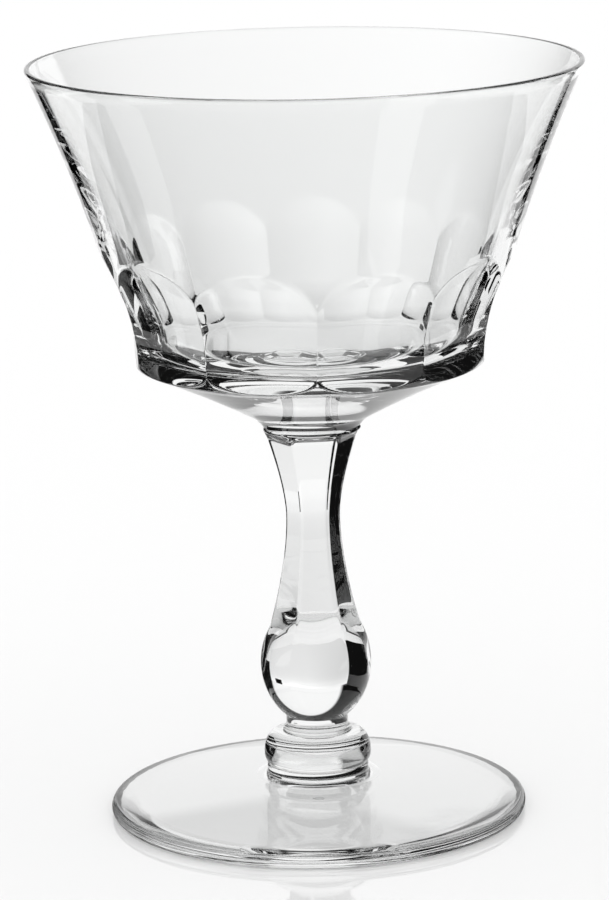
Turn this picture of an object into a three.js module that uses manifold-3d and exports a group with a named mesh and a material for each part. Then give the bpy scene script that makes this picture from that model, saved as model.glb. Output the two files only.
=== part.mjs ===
import * as THREE from 'three';
import { mergeVertices } from 'three/addons/utils/BufferGeometryUtils.js';
import Module from 'manifold-3d';

// Tall sherbet glass in clear crystal. Millimetres, +Z up, standing on z = 0 with its axis on Z.
// Five pieces of glass are fused one on another: foot, collar, stem, merese and bowl.

// Foot: a pressed disc with a domed top and a hollow underneath
const footRadius = 34.2;
const footEdgeThickness = 2.2;
const footCentreThickness = 5.8;
const footCrown = 0.5;
const restRingWidth = 3.2;
const footHollow = 2.8;
const footHollowFlat = 9;

// Collar: the round knop that joins the stem to the foot
const collarHeight = 8.4;
const collarBaseRadius = 10.2;
const collarBaseHeight = 0.6;
const collarDrumRadius = 8.3;
const collarDrumHeight = 1.4;
const collarGrooveRadius = 8;
const collarGrooveHeight = 0.4;
const collarDomeRadius = 8.8;
const collarDomeBelly = 1.4;
const collarBeadRadius = 5.6;
const collarBeadHeight = 0.9;

// Stem: a baluster with a round bulb and lip, pressed to six flats between them
const stemHeight = 50;
const neckRadius = 5.1;
const bulbRadius = 9.1;
const bulbHalfHeight = 10.9;
const bulbRise = 10.8;
const bulbLeaveAngle = THREE.MathUtils.degToRad(36);
const columnBendDrop = 22;
const waistRadius = 4.42;
const waistDrop = 14.7;
const throatDrop = 10.2;
const lipFootRadius = 7.2;
const lipDrop = 1.6;
const stemTopRadius = 8;
const pressFrom = 6;
const pressFull = 19;
const pressEnd = 0.9;
const lipRound = 0.1;
const stemTurn = THREE.MathUtils.degToRad(5);
const stemFlats = 6;

// Merese: the conical wafer of glass between stem and bowl
const mereseHeight = 2.5;
const mereseTopRadius = 10.2;
const mereseHollow = 0.35;
const stemLip = 0.4;

// Bowl: a flared cup with a thick heel
const bowlHeight = 57.3;
const rimRadius = 44.7;
const rimThickness = 0.9;
const kneeRadius = 35;
const kneeDrop = 22.6;
const wallBendRadius = 31.6;
const wallBendDrop = 36;
const heelRadius = 29.9;
const heelRise = 12.8;
const heelFootRadius = 28.1;
const heelBandHeight = 4.2;
const heelTaper = 0.6;
const heelRound = 1;
const undersideSag = 0.6;
const wallAtKnee = 1.5;
const wallAtHeel = 2.9;
const floorThickness = 9.6;
const floorDish = 0.6;
const innerTaper = 1.4;
const floorCornerRadius = 6.5;

// Panels: flat cuts round the lower bowl, ground by the face of a wheel
const panelCount = 11;
const panelWheelRadius = 33;
const panelDepth = 1.7;
const panelDeepestRise = 9.5;
const panelWheelWidth = 26;
const frontRidgeTurn = THREE.MathUtils.degToRad(2);
const panelUneven = THREE.MathUtils.degToRad(4.5);

// Fineness of the curves
const stepsPerPanel = 8;
const roundSteps = 60;
const stepsPerFlat = 6;
const wheelSteps = 96;
const curveSteps = 4;
const wallSteps = 11;
const weldReach = 1e-5;

// Sharpness of the stem's six ridges
const stemEdge = 26;

// Heights of the joints, stacked up from the surface that the glass stands on
const footTop = footCentreThickness;
const collarTop = footTop + collarHeight;
const stemTop = collarTop + stemHeight;
const mereseTop = stemTop + mereseHeight;
const rimTop = mereseTop + bowlHeight;

const wasm = await Module();
wasm.setup();

const crystal = () => new THREE.MeshStandardMaterial({
  color: 0xeef3f2,
  roughness: 0.03,
  metalness: 0,
  transparent: true,
  opacity: 0.35,
});

// Points of (radius, height) turned about Z, with the front at the start angle
function turn(points, segments, startAngle = 0) {
  const geometry = new THREE.LatheGeometry(points, segments, startAngle);
  geometry.rotateX(Math.PI / 2);
  geometry.deleteAttribute('normal');
  geometry.deleteAttribute('uv');
  return mergeVertices(geometry, weldReach);
}

// Turned section pressed to flats, one of them near the front; the ridges keep the turned radius
function pressFlats(geometry, edge, share) {
  const position = geometry.attributes.position;
  const ridgeShare = Math.cos(Math.PI / stemFlats) * 2 ** (1 / edge);
  for (let i = 0; i < position.count; i += 1) {
    const x = position.getX(i);
    const y = position.getY(i);
    const angle = Math.atan2(y, x);
    let sum = 0;
    for (let flat = 0; flat < stemFlats; flat += 1) {
      const facing = stemTurn - Math.PI / 2 + (2 * Math.PI * flat) / stemFlats;
      sum += Math.max(0, Math.cos(angle - facing)) ** edge;
    }
    const hexagon = ridgeShare / sum ** (1 / edge);
    const scale = 1 + (hexagon - 1) * share(position.getZ(i));
    position.setXY(i, x * scale, y * scale);
  }
  return geometry;
}

function toSolid(geometry) {
  return new wasm.Manifold(new wasm.Mesh({
    numProp: 3,
    vertProperties: new Float32Array(geometry.attributes.position.array),
    triVerts: new Uint32Array(geometry.index.array),
  }));
}

function toGeometry(solid) {
  const mesh = solid.getMesh();
  const geometry = new THREE.BufferGeometry();
  geometry.setAttribute('position', new THREE.BufferAttribute(mesh.vertProperties, 3));
  geometry.setIndex(new THREE.BufferAttribute(mesh.triVerts, 1));
  geometry.computeVertexNormals();
  return geometry;
}

// Foot: hollowed underneath, standing on a flat ring, with a round edge
function makeFoot() {
  const edgeRadius = footEdgeThickness / 2;
  const edgeCentre = footRadius - edgeRadius;
  const ringInside = edgeCentre - restRingWidth;
  const crownRadius = (edgeCentre + collarBaseRadius) / 2;
  const crownHeight = (footEdgeThickness + footTop) / 2 + footCrown;
  const profile = new THREE.Path();
  profile.moveTo(0, footHollow);
  profile.quadraticCurveTo(footHollowFlat, footHollow, ringInside, 0);
  profile.lineTo(edgeCentre, 0);
  profile.absarc(edgeCentre, edgeRadius, edgeRadius, -Math.PI / 2, Math.PI / 2, false);
  profile.quadraticCurveTo(crownRadius, crownHeight, collarBaseRadius, footTop);
  profile.lineTo(0, footTop);
  return turn(profile.getPoints(curveSteps), roundSteps);
}

// Collar: flared base, drum, groove, dome and a small bead under the stem
function makeCollar() {
  const drumFrom = footTop + collarBaseHeight;
  const drumTo = drumFrom + collarDrumHeight;
  const grooveAt = drumTo + collarGrooveHeight;
  const beadFrom = collarTop - collarBeadHeight;
  const beadTo = collarTop - collarBeadHeight / 2;
  const domeAt = grooveAt + collarDomeBelly;
  const profile = new THREE.Path();
  profile.moveTo(0, footTop);
  profile.lineTo(collarBaseRadius, footTop);
  profile.quadraticCurveTo(collarDrumRadius, footTop, collarDrumRadius, drumFrom);
  profile.lineTo(collarDrumRadius, drumTo);
  profile.lineTo(collarGrooveRadius, grooveAt);
  profile.quadraticCurveTo(collarDomeRadius, grooveAt, collarDomeRadius, domeAt);
  profile.quadraticCurveTo(collarDomeRadius, beadFrom, collarBeadRadius, beadFrom);
  profile.lineTo(collarBeadRadius, beadTo);
  profile.lineTo(neckRadius, collarTop);
  profile.lineTo(0, collarTop);
  return turn(profile.getPoints(curveSteps), stemFlats * stepsPerFlat, stemTurn);
}

// How far the stem is pressed at a height: the flats start on the bulb and die out under the lip
function stemPress(height) {
  const { smoothstep } = THREE.MathUtils;
  const start = smoothstep(height, collarTop + pressFrom, collarTop + pressFull);
  return start * (1 - smoothstep(height, stemTop - pressEnd, stemTop - lipRound));
}

// Stem: an oval bulb on a narrow neck, then a hollow-sided column that flares to a round lip
function makeStem() {
  const bulbAt = collarTop + bulbRise;
  const neckAngle = -Math.acos(neckRadius / bulbRadius);
  const profile = new THREE.Path();
  profile.moveTo(0, collarTop);
  profile.lineTo(neckRadius, collarTop);
  profile.absellipse(0, bulbAt, bulbRadius, bulbHalfHeight, neckAngle, bulbLeaveAngle, false, 0);
  profile.quadraticCurveTo(waistRadius, stemTop - columnBendDrop, waistRadius, stemTop - waistDrop);
  profile.quadraticCurveTo(waistRadius, stemTop - throatDrop, lipFootRadius, stemTop - lipDrop);
  profile.lineTo(stemTopRadius, stemTop);
  profile.lineTo(0, stemTop);
  const turned = turn(profile.getPoints(curveSteps), stemFlats * stepsPerFlat, stemTurn);
  return pressFlats(turned, stemEdge, stemPress);
}

// Merese: a short cone with a slightly hollow side, from inside the stem's lip to the foot of the bowl
function makeMerese() {
  const mereseFootRadius = stemTopRadius - stemLip;
  const profile = new THREE.Path();
  profile.moveTo(0, stemTop);
  profile.lineTo(mereseFootRadius, stemTop);
  profile.quadraticCurveTo(
    (mereseFootRadius + mereseTopRadius) / 2 - mereseHollow,
    (stemTop + mereseTop) / 2 + mereseHollow,
    mereseTopRadius,
    mereseTop,
  );
  profile.lineTo(0, mereseTop);
  return turn(profile.getPoints(curveSteps), roundSteps);
}

// Bowl before cutting: underside, heel, flared wall, round rim and the hollow for the drink
function makeBowlBlank() {
  const at = (radius, height) => new THREE.Vector2(radius, height);
  const lip = rimThickness / 2;
  const floor = mereseTop + floorThickness;
  const innerHeelRadius = heelRadius - wallAtHeel;
  const floorRadius = innerHeelRadius - floorCornerRadius;
  const seat = at(mereseTopRadius, mereseTop);
  const heelTop = at(heelRadius, mereseTop + heelRise);
  const heelFoot = at(heelFootRadius, heelTop.y - heelBandHeight);
  const underside = at((seat.x + heelFoot.x) / 2, (seat.y + heelFoot.y) / 2 + undersideSag);
  const heelBend = at(heelRadius - heelTaper, heelFoot.y + heelRound);
  const wallBend = at(wallBendRadius, rimTop - wallBendDrop);
  const knee = at(kneeRadius, rimTop - kneeDrop);
  const rimOutside = at(rimRadius, rimTop - lip);
  const rimCrest = at(rimRadius - lip, rimTop + lip);
  const rimInside = at(rimRadius - rimThickness, rimTop - lip);
  const innerKnee = at(kneeRadius - wallAtKnee, knee.y);
  const cornerTop = at(innerHeelRadius, floor + floorCornerRadius);
  const cornerBend = at(innerHeelRadius - innerTaper, floor + floorDish);
  const floorEdge = at(floorRadius, floor + floorDish);
  const outline = [
    [new THREE.LineCurve(at(0, mereseTop), seat), 1],
    [new THREE.QuadraticBezierCurve(seat, underside, heelFoot), curveSteps],
    [new THREE.QuadraticBezierCurve(heelFoot, heelBend, heelTop), curveSteps],
    [new THREE.CubicBezierCurve(heelTop, wallBend, knee, rimOutside), wallSteps],
    [new THREE.QuadraticBezierCurve(rimOutside, rimCrest, rimInside), curveSteps],
    [new THREE.CubicBezierCurve(rimInside, innerKnee, innerKnee, cornerTop), curveSteps],
    [new THREE.QuadraticBezierCurve(cornerTop, cornerBend, floorEdge), curveSteps],
    [new THREE.QuadraticBezierCurve(floorEdge, at(floorRadius / 2, floor), at(0, floor)), curveSteps],
  ];
  const points = [at(0, mereseTop)];
  for (const [curve, steps] of outline) {
    points.push(...curve.getPoints(steps).slice(1));
  }
  return turn(points, panelCount * stepsPerPanel, frontRidgeTurn);
}

// Angle of a ridge from the front: cut by hand, a little to the right and wider in front
function ridgeTurn(count) {
  const even = (2 * Math.PI * count) / panelCount;
  return even + panelUneven * Math.sin(even) + frontRidgeTurn * Math.cos(even);
}

// One grinding wheel, lying against the bowl with its axle across the panel, so that the ridges stand level
function makeWheel(panel) {
  const wheel = new THREE.CylinderGeometry(
    panelWheelRadius, panelWheelRadius, panelWheelWidth, wheelSteps,
  );
  const deepest = mereseTop + panelDeepestRise;
  const ridgeRadius = (heelRadius - panelDepth) / Math.cos(Math.PI / panelCount);
  const first = ridgeTurn(panel);
  const last = ridgeTurn(panel + 1);
  const flatRadius = ridgeRadius * Math.cos((last - first) / 2);
  wheel.rotateZ(Math.PI / 2);
  wheel.translate(0, -(flatRadius + panelWheelRadius), deepest);
  wheel.rotateZ((first + last) / 2);
  wheel.deleteAttribute('normal');
  wheel.deleteAttribute('uv');
  return toSolid(mergeVertices(wheel, weldReach));
}

function makeBowl() {
  let bowl = toSolid(makeBowlBlank());
  for (let panel = 0; panel < panelCount; panel += 1) {
    bowl = bowl.subtract(makeWheel(panel));
  }
  return toGeometry(bowl);
}

const glass = new THREE.Group();
const pieces = {
  foot: makeFoot(),
  collar: makeCollar(),
  stem: makeStem(),
  merese: makeMerese(),
  bowl: makeBowl(),
};
for (const [name, geometry] of Object.entries(pieces)) {
  const mesh = new THREE.Mesh(geometry, crystal());
  mesh.name = name;
  glass.add(mesh);
}

export default glass;
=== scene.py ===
import math

import bmesh
import bpy
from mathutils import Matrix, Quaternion, Vector
from mathutils.geometry import interpolate_bezier


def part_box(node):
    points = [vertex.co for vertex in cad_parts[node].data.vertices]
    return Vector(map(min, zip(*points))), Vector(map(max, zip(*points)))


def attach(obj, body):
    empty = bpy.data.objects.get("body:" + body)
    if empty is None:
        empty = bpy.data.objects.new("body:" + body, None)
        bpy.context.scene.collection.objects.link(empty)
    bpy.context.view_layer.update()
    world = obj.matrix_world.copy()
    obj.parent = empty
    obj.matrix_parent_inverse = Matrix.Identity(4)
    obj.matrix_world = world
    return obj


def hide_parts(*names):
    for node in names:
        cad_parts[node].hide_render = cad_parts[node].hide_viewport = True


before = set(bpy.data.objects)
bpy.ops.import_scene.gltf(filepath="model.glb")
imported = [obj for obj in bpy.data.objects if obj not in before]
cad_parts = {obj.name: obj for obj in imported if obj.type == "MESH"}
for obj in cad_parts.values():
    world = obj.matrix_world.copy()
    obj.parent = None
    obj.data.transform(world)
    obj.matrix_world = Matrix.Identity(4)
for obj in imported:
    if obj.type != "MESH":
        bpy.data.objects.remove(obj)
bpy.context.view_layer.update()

# Camera
# A long lens a little above the glass, in front of it. The frame leans by a hair,
# so that the top of the glass tips to the left.
mm = 0.001
scene = bpy.context.scene
eye = Vector((-0.0012, -0.6745, 0.212))
aim = Vector((-0.0012, 0, 0.0604))
lean = math.radians(-1.15)
camera_data = bpy.data.cameras.new("studio_camera")
camera_data.lens = 170
camera_data.sensor_width = 36
camera_data.clip_start = 10 * mm
camera = bpy.data.objects.new("studio_camera", camera_data)
camera.location = eye
camera.rotation_mode = "QUATERNION"
camera.rotation_quaternion = (aim - eye).to_track_quat("-Z", "Y") @ Quaternion((0, 0, 1), lean)
scene.collection.objects.link(camera)
scene.camera = camera
scene.view_settings.view_transform = "Standard"

# Foot
# A pressed disc of clear crystal that the glass stands on, domed above and hollowed
# below, so that it rests on a narrow ring. Its edge was melted round in the fire.
foot_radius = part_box("foot")[1].x
foot_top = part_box("foot")[1].z
collar_base_radius = 10.2 * mm
foot_edge_thickness = 2.2 * mm
foot_crown = 0.5 * mm
foot_hollow = 2.8 * mm
foot_hollow_flat = 9 * mm
rest_ring_width = 3.2 * mm
foot_hollow_steps = 24
foot_edge_steps = 16
foot_crown_steps = 40
foot_columns = 240
foot_waves = 60
foot_wave_height = 0.02 * mm
crystal_index = 1.52
crystal_tint = (0.985, 0.99, 0.988, 1)
weld_reach = 1e-7
joint_reach = 1e-6


def at(radius, height):
    """A point on the outline of a piece."""
    return Vector((radius, height))


def sweep(start, bend, end, steps, pull=2 / 3):
    """Points on a smooth curve from start to end, drawn towards bend, without its first point."""
    curve = interpolate_bezier(start, start.lerp(bend, pull), end.lerp(bend, pull), end, steps + 1)
    return curve[1:]


def spin_outline(points, columns):
    """A mesh of outline points turned once round the glass's axis, from the front."""
    mesh = bmesh.new()
    verts = [mesh.verts.new((0, -point.x, point.y)) for point in points]
    edges = [mesh.edges.new(pair) for pair in zip(verts, verts[1:])]
    bmesh.ops.spin(
        mesh, geom=verts + edges, cent=(0, 0, 0), axis=(0, 0, 1), dvec=(0, 0, 0),
        angle=2 * math.pi, steps=columns, use_merge=True,
    )
    bmesh.ops.remove_doubles(mesh, verts=mesh.verts, dist=weld_reach)
    bmesh.ops.recalc_face_normals(mesh, faces=mesh.faces)
    return mesh


def clear_crystal(name, waves, wave_height):
    """Clear glass whose melted surface is never quite even; waves are counted per metre."""
    material = bpy.data.materials.new(name)
    material.use_nodes = True
    nodes = material.node_tree.nodes
    links = material.node_tree.links
    glass = nodes["Principled BSDF"]
    glass.inputs["Base Color"].default_value = crystal_tint
    glass.inputs["Roughness"].default_value = 0
    glass.inputs["IOR"].default_value = crystal_index
    glass.inputs["Transmission Weight"].default_value = 1
    place = nodes.new("ShaderNodeTexCoord")
    wave = nodes.new("ShaderNodeTexNoise")
    wave.inputs["Scale"].default_value = waves
    wave.inputs["Detail"].default_value = 1
    bump = nodes.new("ShaderNodeBump")
    bump.inputs["Strength"].default_value = 1
    bump.inputs["Distance"].default_value = wave_height
    links.new(place.outputs["Object"], wave.inputs["Vector"])
    links.new(wave.outputs["Fac"], bump.inputs["Height"])
    links.new(bump.outputs["Normal"], glass.inputs["Normal"])
    return material


fused_joint = bpy.data.materials.new("fused_joint")
fused_joint.use_nodes = True
fused_joint.node_tree.nodes.remove(fused_joint.node_tree.nodes["Principled BSDF"])
joint_shader = fused_joint.node_tree.nodes.new("ShaderNodeBsdfTransparent")
joint_output = fused_joint.node_tree.nodes["Material Output"]
fused_joint.node_tree.links.new(joint_shader.outputs["BSDF"], joint_output.inputs["Surface"])


def finish_piece(name, mesh, finish, joint_heights):
    """The piece as an object that stands for its node, with its flat joints fused to its neighbours."""
    for face in mesh.faces:
        face.smooth = True
        for height in joint_heights:
            if all(abs(vert.co.z - height) < joint_reach for vert in face.verts):
                face.material_index = 1
                face.smooth = False
    for edge in mesh.edges:
        edge.smooth = len({face.material_index for face in edge.link_faces}) == 1
    data = bpy.data.meshes.new(name)
    mesh.to_mesh(data)
    mesh.free()
    data.materials.append(finish)
    data.materials.append(fused_joint)
    piece = bpy.data.objects.new(name, data)
    scene.collection.objects.link(piece)
    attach(piece, "root")
    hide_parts(name.removeprefix("crystal_"))


edge_radius = foot_edge_thickness / 2
edge_centre = foot_radius - edge_radius
ring_inside = edge_centre - rest_ring_width
crown = at((edge_centre + collar_base_radius) / 2, (foot_edge_thickness + foot_top) / 2 + foot_crown)
foot_centre = at(0, foot_hollow)
foot_outline = [foot_centre]
foot_outline += sweep(foot_centre, at(foot_hollow_flat, foot_hollow), at(ring_inside, 0), foot_hollow_steps)
foot_outline += [at(edge_centre, 0)]
for step in range(1, foot_edge_steps + 1):
    turn = math.pi * step / foot_edge_steps - math.pi / 2
    edge_height = edge_radius + edge_radius * math.sin(turn)
    foot_outline += [at(edge_centre + edge_radius * math.cos(turn), edge_height)]
foot_outline += sweep(foot_outline[-1], crown, at(collar_base_radius, foot_top), foot_crown_steps)
foot_outline += [at(0, foot_top)]
foot = spin_outline(foot_outline, foot_columns)
pressed_crystal = clear_crystal("pressed_crystal", foot_waves, foot_wave_height)
finish_piece("crystal_foot", foot, pressed_crystal, [foot_top])

# Collar
# The knop that joins stem and foot: a flared base fused to the foot, a drum, a groove
# and a rounded dome under a small bead. It was turned round while hot.
collar_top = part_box("collar")[1].z
collar_base_height = 0.6 * mm
drum_radius = 8.3 * mm
drum_height = 1.4 * mm
groove_radius = 8 * mm
groove_height = 0.4 * mm
dome_radius = 8.8 * mm
dome_belly = 1.4 * mm
bead_radius = 5.6 * mm
bead_height = 0.9 * mm
neck_radius = 5.1 * mm
collar_fillet_steps = 12
dome_steps = 16
collar_columns = 192
collar_waves = 150
collar_wave_height = 0.01 * mm

drum_from = foot_top + collar_base_height
drum_to = drum_from + drum_height
groove_at = drum_to + groove_height
dome_at = groove_at + dome_belly
bead_from = collar_top - bead_height
flare = at(collar_base_radius, foot_top)
groove = at(groove_radius, groove_at)
shoulder = at(dome_radius, bead_from)
collar_outline = [at(0, foot_top), flare]
collar_outline += sweep(flare, at(drum_radius, foot_top), at(drum_radius, drum_from), collar_fillet_steps)
collar_outline += [at(drum_radius, drum_to), groove]
collar_outline += sweep(groove, at(dome_radius, groove_at), at(dome_radius, dome_at), collar_fillet_steps)
collar_outline += sweep(collar_outline[-1], shoulder, at(bead_radius, bead_from), dome_steps)
collar_outline += [at(bead_radius, bead_from + bead_height / 2)]
collar_outline += [at(neck_radius, collar_top), at(0, collar_top)]
collar = spin_outline(collar_outline, collar_columns)
knop_crystal = clear_crystal("pressed_knop_crystal", collar_waves, collar_wave_height)
finish_piece("crystal_collar", collar, knop_crystal, [foot_top, collar_top])

# Stem
# A six-sided baluster drawn and pressed in one: an oval bulb on a narrow neck, then
# a slim column with a waist, which flares to a lip under the bowl.
stem_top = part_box("stem")[1].z
bulb_radius = 9.1 * mm
bulb_half_height = 10.9 * mm
bulb_rise = 10.8 * mm
bulb_leave_angle = math.radians(36)
waist_radius = 4.42 * mm
waist_drop = 14.7 * mm
throat_drop = 10.2 * mm
lip_foot_radius = 7.2 * mm
lip_drop = 1.6 * mm
stem_top_radius = 8 * mm
column_bend_drop = 22 * mm
stem_flats = 6
stem_edge = 40
press_from = 6 * mm
press_full = 19 * mm
press_end = 0.9 * mm
lip_round = 0.1 * mm
stem_turn = math.radians(5)
bulb_steps = 48
column_steps = 32
stem_lip_steps = 12
stem_columns = 216
stem_waves = 150
stem_wave_height = 0.01 * mm


def ease(value, low, high):
    """Rises smoothly from 0 at low to 1 at high."""
    rise = min(1, max(0, (value - low) / (high - low)))
    return rise * rise * (3 - 2 * rise)


def stem_press(height):
    """How far the flats are pressed in: they start on the bulb and die out under the round lip."""
    start = ease(height, collar_top + press_from, collar_top + press_full)
    return start * (1 - ease(height, stem_top - press_end, stem_top - lip_round))


def press_flats(mesh):
    """Presses the turned stem flat on its sides, one near the front; the ridges keep the turned radius."""
    ridge_share = math.cos(math.pi / stem_flats) * 2 ** (1 / stem_edge)
    for vert in mesh.verts:
        turn = math.atan2(vert.co.x, -vert.co.y)
        total = 0
        for flat in range(stem_flats):
            total += max(0, math.cos(turn - stem_turn - flat * 2 * math.pi / stem_flats)) ** stem_edge
        flat_share = ridge_share / total ** (1 / stem_edge)
        scale = 1 + (flat_share - 1) * stem_press(vert.co.z)
        vert.co.x *= scale
        vert.co.y *= scale


bulb_at = collar_top + bulb_rise
neck_angle = -math.acos(neck_radius / bulb_radius)
waist = at(waist_radius, stem_top - waist_drop)
lip_foot = at(lip_foot_radius, stem_top - lip_drop)
lip_edge = at(stem_top_radius, stem_top)
stem_outline = [at(0, collar_top), at(neck_radius, collar_top)]
for step in range(bulb_steps + 1):
    turn = neck_angle + (bulb_leave_angle - neck_angle) * step / bulb_steps
    stem_outline += [at(bulb_radius * math.cos(turn), bulb_at + bulb_half_height * math.sin(turn))]
column_bend = at(waist_radius, stem_top - column_bend_drop)
stem_outline += sweep(stem_outline[-1], column_bend, waist, column_steps)
stem_outline += sweep(waist, at(waist_radius, stem_top - throat_drop), lip_foot, column_steps)
stem_outline += sweep(lip_foot, lip_foot.lerp(lip_edge, 0.5), lip_edge, stem_lip_steps)
stem_outline += [at(0, stem_top)]
stem = spin_outline(stem_outline, stem_columns)
press_flats(stem)
stem_crystal = clear_crystal("stem_crystal", stem_waves, stem_wave_height)
finish_piece("crystal_stem", stem, stem_crystal, [collar_top, stem_top])

# Merese
# The small conical wafer of glass between stem and bowl, slightly hollow on its side,
# dropped on hot so that both joints melted together.
merese_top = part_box("merese")[1].z
merese_top_radius = 10.2 * mm
merese_hollow = 0.35 * mm
stem_lip = 0.4 * mm
merese_steps = 16
merese_columns = 192
merese_waves = 150
merese_wave_height = 0.01 * mm

merese_foot_radius = stem_top_radius - stem_lip
merese_foot = at(merese_foot_radius, stem_top)
merese_bend = at(
    (merese_foot_radius + merese_top_radius) / 2 - merese_hollow,
    (stem_top + merese_top) / 2 + merese_hollow,
)
merese_outline = [at(0, stem_top), merese_foot]
merese_outline += sweep(merese_foot, merese_bend, at(merese_top_radius, merese_top), merese_steps)
merese_outline += [at(0, merese_top)]
merese = spin_outline(merese_outline, merese_columns)
wafer_crystal = clear_crystal("wafer_crystal", merese_waves, merese_wave_height)
finish_piece("crystal_merese", merese, wafer_crystal, [stem_top, merese_top])

# Bowl
# A flared cup blown into a mould, with a thick heel. Eleven flat panels were ground
# round its lower wall on a wheel and polished, meeting at ridges and ending in arches.
rim_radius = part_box("bowl")[1].x
rim_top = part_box("bowl")[1].z
rim_thickness = 0.9 * mm
knee_radius = 35 * mm
knee_drop = 22.6 * mm
wall_bend_radius = 31.6 * mm
wall_bend_drop = 36 * mm
heel_radius = 29.9 * mm
heel_rise = 12.8 * mm
heel_foot_radius = 28.1 * mm
heel_band_height = 4.2 * mm
heel_taper = 0.6 * mm
heel_round = 1 * mm
underside_sag = 0.6 * mm
wall_at_knee = 1.5 * mm
wall_at_heel = 2.9 * mm
floor_thickness = 9.6 * mm
floor_dish = 0.6 * mm
inner_taper = 1.4 * mm
floor_corner_radius = 6.5 * mm
panel_count = 11
wheel_radius = 33 * mm
panel_depth = 1.7 * mm
panel_deepest_rise = 9.5 * mm
panel_uneven = math.radians(4.5)
front_ridge_turn = math.radians(2)
polish = 0.06 * mm
underside_steps = 20
heel_steps = 16
wall_steps = 72
rim_steps = 5
inner_wall_steps = 40
floor_corner_steps = 20
floor_steps = 12
panel_columns = 36
ridge_crowding = 0.7
bowl_waves = 20
bowl_wave_height = 0.002 * mm

lip = rim_thickness / 2
floor_height = merese_top + floor_thickness
inner_heel_radius = heel_radius - wall_at_heel
floor_radius = inner_heel_radius - floor_corner_radius
seat = at(merese_top_radius, merese_top)
heel_top = at(heel_radius, merese_top + heel_rise)
heel_foot = at(heel_foot_radius, heel_top.y - heel_band_height)
underside = (seat + heel_foot) / 2 + at(0, underside_sag)
heel_bend = at(heel_radius - heel_taper, heel_foot.y + heel_round)
wall_bend = at(wall_bend_radius, rim_top - wall_bend_drop)
knee = at(knee_radius, rim_top - knee_drop)
rim_outside = at(rim_radius, rim_top - lip)
rim_crest = at(rim_radius - lip, rim_top)
rim_inside = at(rim_radius - rim_thickness, rim_top - lip)
inner_knee = at(knee_radius - wall_at_knee, knee.y)
corner_top = at(inner_heel_radius, floor_height + floor_corner_radius)
corner_bend = at(inner_heel_radius - inner_taper, floor_height + floor_dish)
floor_edge = at(floor_radius, floor_height + floor_dish)
bowl_outline = [at(0, merese_top), seat]
bowl_outline += sweep(seat, underside, heel_foot, underside_steps)
bowl_outline += sweep(heel_foot, heel_bend, heel_top, heel_steps)
bowl_outline += interpolate_bezier(heel_top, wall_bend, knee, rim_outside, wall_steps + 1)[1:]
bowl_outline += sweep(rim_outside, at(rim_radius, rim_top), rim_crest, rim_steps)
bowl_outline += sweep(rim_crest, at(rim_radius - rim_thickness, rim_top), rim_inside, rim_steps)
bowl_outline += sweep(rim_inside, inner_knee, corner_top, inner_wall_steps, pull=1)
bowl_outline += sweep(corner_top, corner_bend, floor_edge, floor_corner_steps)
bowl_outline += sweep(floor_edge, at(floor_radius / 2, floor_height), at(0, floor_height), floor_steps)
bowl = spin_outline(bowl_outline, panel_count * panel_columns)


def ridge_turn(count):
    """The angle of a ridge from the front: cut by hand, a little to the right and wider in front."""
    even = 2 * math.pi * count / panel_count
    return even + panel_uneven * math.sin(even) + front_ridge_turn * math.cos(even)


def ridge_radius(height):
    """How far the ridges stand from the axis, where the wheel's face met the wall at this height."""
    flat = heel_radius - panel_depth + wheel_radius
    rise = height - merese_top - panel_deepest_rise
    return (flat - math.sqrt(wheel_radius ** 2 - rise ** 2)) / math.cos(math.pi / panel_count)


def soft_least(a, b, reach):
    """The smaller of two numbers, rounded over where they meet."""
    near = max(0, reach - abs(a - b)) / reach
    return min(a, b) - near * near * reach / 4


for vert in bowl.verts:
    radius = math.hypot(vert.co.x, vert.co.y)
    count = math.atan2(vert.co.x, -vert.co.y) * panel_count / (2 * math.pi)
    panel = math.floor(count)
    share = count - panel
    share -= ridge_crowding * math.sin(2 * math.pi * share) / (2 * math.pi)
    first, last = ridge_turn(panel), ridge_turn(panel + 1)
    half = (last - first) / 2
    turn = first + (last - first) * share
    if abs(vert.co.z - merese_top - panel_deepest_rise) < wheel_radius:
        cut = ridge_radius(vert.co.z) * math.cos(half) / math.cos(turn - first - half)
        radius = soft_least(radius, cut, polish)
    vert.co.x = radius * math.sin(turn)
    vert.co.y = -radius * math.cos(turn)
cut_crystal = clear_crystal("cut_crystal", bowl_waves, bowl_wave_height)
finish_piece("crystal_bowl", bowl, cut_crystal, [merese_top])

# Table
# A glossy white table top. Its matte white takes the shadow of the glass, and its
# polish mirrors the glass faintly.
white = (1, 1, 1, 1)
table_half_size = 9
table_drop = 0.05 * mm
table_index = 1.6
table_roughness = 0.03


def stage_piece(name, mesh, finish):
    """A thing of the studio, which is no part of the glass."""
    data = bpy.data.meshes.new(name)
    mesh.to_mesh(data)
    mesh.free()
    data.materials.append(finish)
    stage_object = bpy.data.objects.new(name, data)
    scene.collection.objects.link(stage_object)
    return stage_object


white_table = bpy.data.materials.new("white_table")
white_table.use_nodes = True
table_nodes = white_table.node_tree.nodes
table_links = white_table.node_tree.links
table_nodes.remove(table_nodes["Principled BSDF"])
table_matte = table_nodes.new("ShaderNodeBsdfDiffuse")
table_matte.inputs["Color"].default_value = white
table_gloss = table_nodes.new("ShaderNodeBsdfAnisotropic")
table_gloss.inputs["Color"].default_value = white
table_gloss.inputs["Roughness"].default_value = table_roughness
table_mix = table_nodes.new("ShaderNodeMixShader")
table_fresnel = table_nodes.new("ShaderNodeFresnel")
table_fresnel.inputs["IOR"].default_value = table_index
table_links.new(table_fresnel.outputs["Fac"], table_mix.inputs["Fac"])
table_links.new(table_matte.outputs["BSDF"], table_mix.inputs[1])
table_links.new(table_gloss.outputs["BSDF"], table_mix.inputs[2])
table_links.new(table_mix.outputs["Shader"], table_nodes["Material Output"].inputs["Surface"])
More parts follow.
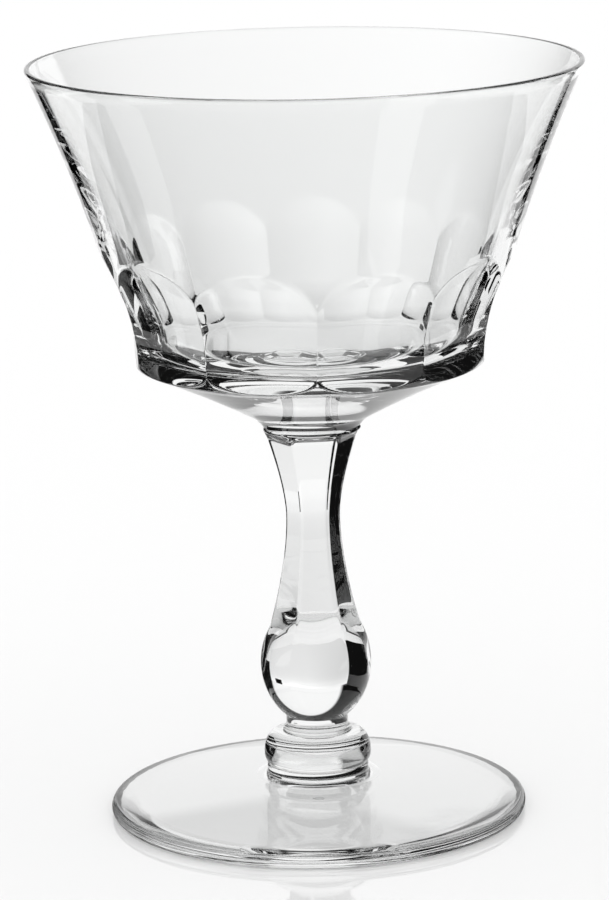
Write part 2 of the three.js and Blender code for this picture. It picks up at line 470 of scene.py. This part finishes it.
table = bmesh.new()
bmesh.ops.create_grid(table, x_segments=1, y_segments=1, size=table_half_size)
bmesh.ops.translate(table, verts=table.verts, vec=(0, 0, -table_drop))
stage_piece("table", table, white_table)

# Dark cards
# Black cards on the table round the glass, and thin black shades under the edge of its foot, which are its
# painted contact shadow.
# They are only seen in the glass, as its dark lines. Directions are in degrees from the back
# of the glass, clockwise seen from above, and the near and far edges in metres from its axis.
card_end = 13
card_lift = 0.2 * mm
card_thickness = 0.02 * mm
card_steps = 24
black = 0.005
far_out = 0.2
far_glance = math.radians(20)
# How many surfaces of glass the light that sees a card may have passed.
mirrored, through_one_wall, through_all = 0, 2, None
dark_cards = {
    "left_side_card": (-80, -62, 0.045, far_out, through_all),
    "left_near_card": (-62, -28, 0.045, far_out, through_one_wall),
    "left_back_card": (-28, -24.5, 0.045, far_out, through_all),
    "left_far_card": (-80, -24.5, far_out, card_end, through_all),
    "left_mirror_card": (-100, -80, 0.055, 0.4, mirrored),
    "front_near_card": (-215, -100, 0.055, far_out, through_all),
    "front_far_card": (-215, -100, far_out, card_end, through_all),
    "right_slim_far_card": (30, 38.5, 0.3, card_end, through_all),
    "right_strip": (38.5, 47, 0.11, 0.17, mirrored),
    "right_near_card": (47, 124, 0.08, far_out, through_all),
    "right_far_card": (47, 124, far_out, card_end, through_all),
    "right_mirror_card": (124, 145, 0.055, far_out, mirrored),
}
# Painted contact shadow: black rings under the edge of the foot, wider at its left and right ends, seen
# only in the glass.
contact_shades = {
    "contact_shade": (12, 348, 32.5 * mm, 36 * mm),
    "left_end_shade": (-120, -75, 36 * mm, 43 * mm),
    "right_end_shade": (75, 130, 36 * mm, 43 * mm),
}
contact_drop = 0.02 * mm


def compass(direction):
    """The turn about Z of a direction from the back of the glass."""
    return math.radians(90 - direction)


def larger_of(tree, first, second):
    """The larger of two values in a node tree, at most 1."""
    larger = tree.nodes.new("ShaderNodeMath")
    larger.operation = "MAXIMUM"
    larger.use_clamp = True
    tree.links.new(first, larger.inputs[0])
    tree.links.new(second, larger.inputs[1])
    return larger.outputs["Value"]


def card_finish(name, strength=1, glass_passed=None, glance=None):
    """A card with a glow of its own, which is only seen from above.

    It can be kept from light that passed more surfaces of glass, or that looks down more steeply.
    """
    material = bpy.data.materials.new(name)
    material.use_nodes = True
    tree = material.node_tree
    nodes = tree.nodes
    nodes.remove(nodes["Principled BSDF"])
    unseen = nodes.new("ShaderNodeNewGeometry").outputs["Backfacing"]
    if glass_passed is not None:
        passed = nodes.new("ShaderNodeMath")
        passed.operation = "GREATER_THAN"
        passed.inputs[1].default_value = glass_passed + 0.5
        tree.links.new(nodes.new("ShaderNodeLightPath").outputs["Transmission Depth"], passed.inputs[0])
        unseen = larger_of(tree, unseen, passed.outputs["Value"])
    if glance is not None:
        steep = nodes.new("ShaderNodeMath")
        steep.operation = "LESS_THAN"
        steep.inputs[1].default_value = 1 - math.sin(glance)
        tree.links.new(nodes.new("ShaderNodeLayerWeight").outputs["Facing"], steep.inputs[0])
        unseen = larger_of(tree, unseen, steep.outputs["Value"])
    glow = nodes.new("ShaderNodeEmission")
    glow.name = "glow"
    glow.inputs["Strength"].default_value = strength
    nothing = nodes.new("ShaderNodeBsdfTransparent")
    mix = nodes.new("ShaderNodeMixShader")
    tree.links.new(unseen, mix.inputs["Fac"])
    tree.links.new(glow.outputs["Emission"], mix.inputs[1])
    tree.links.new(nothing.outputs["BSDF"], mix.inputs[2])
    tree.links.new(mix.outputs["Shader"], nodes["Material Output"].inputs["Surface"])
    material.cycles.emission_sampling = "NONE"
    return material


def lay_card(name, first, last, near, far, lift, finish):
    """A ring-shaped card on the table between two directions, hidden from all but the glass."""
    card = bmesh.new()
    turn = compass(first)
    near_end = card.verts.new((near * math.cos(turn), near * math.sin(turn), lift))
    far_end = card.verts.new((far * math.cos(turn), far * math.sin(turn), lift))
    edge = card.edges.new((near_end, far_end))
    bmesh.ops.spin(
        card, geom=[near_end, far_end, edge], cent=(0, 0, 0), axis=(0, 0, 1), dvec=(0, 0, 0),
        angle=math.radians(first - last), steps=card_steps,
    )
    bmesh.ops.recalc_face_normals(card, faces=card.faces)
    if next(iter(card.faces)).normal.z < 0:
        bmesh.ops.reverse_faces(card, faces=card.faces)
    card_object = stage_piece(name, card, finish)
    card_object.visible_camera = False
    card_object.visible_diffuse = False
    card_object.visible_shadow = False


lift = card_lift
for name, (first, last, near, far, glass_passed) in dark_cards.items():
    glance = far_glance if near >= far_out else None
    lift += card_thickness
    lay_card(name, first, last, near, far, lift, card_finish(name, black, glass_passed, glance))
contact_finish = card_finish("contact_shade", black)
for name, (first, last, near, far) in contact_shades.items():
    lay_card(name, first, last, near, far, -contact_drop, contact_finish)

# Light cards
# A pale disc under the hollow of the foot, which glows as painted light for the table lit through the foot,
# and a broad pale card behind the glass, which glows too. The broad card grows lighter away from the glass
# and to the right, as the clear bowl shows it: painted shadow of the glass near it, and painted side light.
all_round = (-180, 180)
under_foot_hole = 1 * mm
under_foot_reach = 32.5 * mm
under_foot_light = 0.77
back_card_span = (-26, 47)
back_card_near = 0.05
# Distance from the glass in metres, and how bright the broad card glows there: painted shadow of the glass,
# which fades away from it.
back_card_shadow_tones = {0.05: 0.78, 0.13: 0.8, 0.3: 0.93, 0.45: 0.95, 0.55: 0.965, 0.65: 0.985, 1: 1}
# Painted side light: the broad card glows dimmer to the left of the glass and brighter to the right.
shaded_from, lit_from = math.radians(-14), math.radians(4)
shaded_light, full_light = 0.93, 1.1

# Painted light: the disc glows at a set strength in place of the table lit through the foot.
under_foot_finish = card_finish("under_foot", under_foot_light)
lay_card("under_foot", *all_round, under_foot_hole, under_foot_reach, -contact_drop, under_foot_finish)
# The broad card glows: painted light, with painted shade near the glass and to the left.
back_finish = card_finish("back_card")
back_nodes = back_finish.node_tree.nodes
back_links = back_finish.node_tree.links
place = back_nodes.new("ShaderNodeTexCoord")
distance = back_nodes.new("ShaderNodeVectorMath")
distance.operation = "LENGTH"
fade = back_nodes.new("ShaderNodeValToRGB")
while len(fade.color_ramp.elements) < len(back_card_shadow_tones):
    fade.color_ramp.elements.new(1)
for element, (reach, tone) in zip(fade.color_ramp.elements, back_card_shadow_tones.items()):
    element.position = reach
    element.color = (tone, tone, tone, 1)
back_links.new(place.outputs["Object"], distance.inputs[0])
back_links.new(distance.outputs["Value"], fade.inputs["Fac"])
back_links.new(fade.outputs["Color"], back_nodes["glow"].inputs["Color"])
direction = back_nodes.new("ShaderNodeVectorMath")
direction.operation = "NORMALIZE"
sides = back_nodes.new("ShaderNodeSeparateXYZ")
side_light = back_nodes.new("ShaderNodeMapRange")
side_light.inputs["From Min"].default_value = math.sin(shaded_from)
side_light.inputs["From Max"].default_value = math.sin(lit_from)
side_light.inputs["To Min"].default_value = shaded_light
side_light.inputs["To Max"].default_value = full_light
back_links.new(place.outputs["Object"], direction.inputs[0])
back_links.new(direction.outputs["Vector"], sides.inputs["Vector"])
back_links.new(sides.outputs["X"], side_light.inputs["Value"])
back_links.new(side_light.outputs["Result"], back_nodes["glow"].inputs["Strength"])
lay_card("back_card", *back_card_span, back_card_near, card_end, card_lift, back_finish)

# Room
# A white room for all but the clear glass, which sees dark walls with two round windows
# through it. Windows have a direction, a height and a half size, all in degrees.
dark_wall = 0.005
window_softness = math.radians(4)
windows = {
    "back_window": (13, 1, 31),
    "side_window": (-90, 0, 7),
}
glass_bounces = 48
mirror_bounces = 32

room = bpy.data.worlds.new("studio_room")
room.use_nodes = True
scene.world = room
room_nodes = room.node_tree.nodes
room_links = room.node_tree.links
look = room_nodes.new("ShaderNodeTexCoord")
path = room_nodes.new("ShaderNodeLightPath")
lights = []
for name, (direction_from_back, height, half_size) in windows.items():
    turn, rise, half = compass(direction_from_back), math.radians(height), math.radians(half_size)
    towards = room_nodes.new("ShaderNodeVectorMath")
    towards.operation = "DOT_PRODUCT"
    towards.inputs[1].default_value = (
        math.cos(turn) * math.cos(rise), math.sin(turn) * math.cos(rise), math.sin(rise),
    )
    room_links.new(look.outputs["Generated"], towards.inputs[0])
    window = room_nodes.new("ShaderNodeMapRange")
    window.name = name
    window.interpolation_type = "SMOOTHSTEP"
    window.inputs["From Min"].default_value = math.cos(half + window_softness)
    window.inputs["From Max"].default_value = math.cos(half)
    window.inputs["To Min"].default_value = dark_wall
    room_links.new(towards.outputs["Value"], window.inputs["Value"])
    lights.append(window.outputs["Result"])
plain_ray = room_nodes.new("ShaderNodeMath")
plain_ray.operation = "SUBTRACT"
plain_ray.inputs[0].default_value = 1
room_links.new(path.outputs["Is Singular Ray"], plain_ray.inputs[1])
lights += [plain_ray.outputs["Value"], path.outputs["Diffuse Depth"]]
brightness = lights[0]
for light in lights[1:]:
    brightness = larger_of(room.node_tree, brightness, light)
room_light = room_nodes["Background"]
room_light.inputs["Color"].default_value = white
room_links.new(brightness, room_light.inputs["Strength"])
scene.cycles.max_bounces = glass_bounces
scene.cycles.transmission_bounces = glass_bounces
scene.cycles.glossy_bounces = mirror_bounces
scene.cycles.transparent_max_bounces = mirror_bounces
